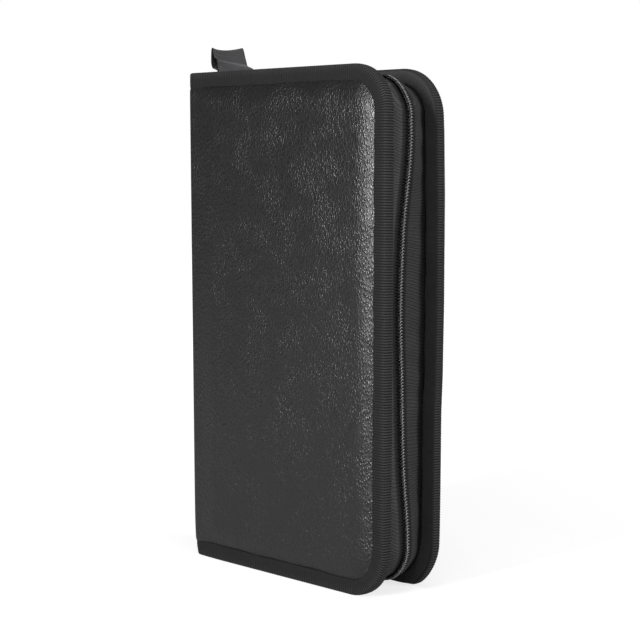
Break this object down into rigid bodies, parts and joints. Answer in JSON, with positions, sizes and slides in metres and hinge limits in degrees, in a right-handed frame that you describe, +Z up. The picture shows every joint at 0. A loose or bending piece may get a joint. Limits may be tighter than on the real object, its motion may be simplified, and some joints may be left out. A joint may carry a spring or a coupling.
{
  "type": "zip-around disc wallet",
  "caption": "Tall zip-around wallet for discs: two padded hard covers on a spine, bound edges, a coil zip on three sides, a ribbon tab at the zip's end and a block of sleeves inside.",
  "frame": {"origin": "under the middle of the closed case, on the surface that it stands on", "axes": "+X from the spine to the zip side, +Y from the front cover to the back cover, +Z up"},
  "size_m": [0.159, 0.0474, 0.3072],
  "materials": {
    "leather": "black grained artificial leather, satin",
    "foam": "matt foam padding",
    "board": "matt stiffener board",
    "lining": "matt black lining cloth",
    "grosgrain": "black ribbed binding tape",
    "zip_tape": "black twill zip tape",
    "nylon": "dark grey nylon coil, satin",
    "satin": "dark grey woven ribbon",
    "sleeve_film": "soft plastic film on fleece, satin",
    "metal": "black lacquered metal, satin"
  },
  "bodies": {
    "spine": {"spine_skin": "leather", "spine_board": "board", "spine_lining": "lining", "spine_binding_top": "grosgrain", "spine_binding_bottom": "grosgrain", "bottom_zip_stop": "metal", "zip_end_tab": "satin", "disc_sleeves": "sleeve_film", "sleeve_strip": "lining"},
    "front_cover": {"front_skin": "leather", "front_padding": "foam", "front_board": "board", "front_lining": "lining", "front_binding": "grosgrain", "front_zip_tape": "zip_tape", "front_zip_coil": "nylon", "front_zip_stop": "metal"},
    "back_cover": {"back_skin": "leather", "back_padding": "foam", "back_board": "board", "back_lining": "lining", "back_binding": "grosgrain", "back_zip_tape": "zip_tape", "back_zip_coil": "nylon", "back_zip_stop": "metal"},
    "slider": {"zip_slider": "metal"},
    "pull": {"zip_pull": "metal"}
  },
  "joints": [
    {"name": "front_cover_hinge", "type": "hinge", "parent": "spine", "child": "front_cover", "pos_m": [-0.07833, -0.02183, 0.145], "axis": [0, 0, -1], "range_deg": [0, 172]},
    {"name": "back_cover_hinge", "type": "hinge", "parent": "spine", "child": "back_cover", "pos_m": [-0.07833, 0.02183, 0.145], "axis": [0, 0, 1], "range_deg": [0, 172]},
    {"name": "slider_run", "type": "slide", "parent": "back_cover", "child": "slider", "axis": [1, 0, 0], "range_m": [0, 0.085]},
    {"name": "pull_hinge", "type": "hinge", "parent": "slider", "child": "pull", "pos_m": [-0.0561, 0, 0.28805], "axis": [0, -1, 0], "range_deg": [0, 110]}
  ]
}
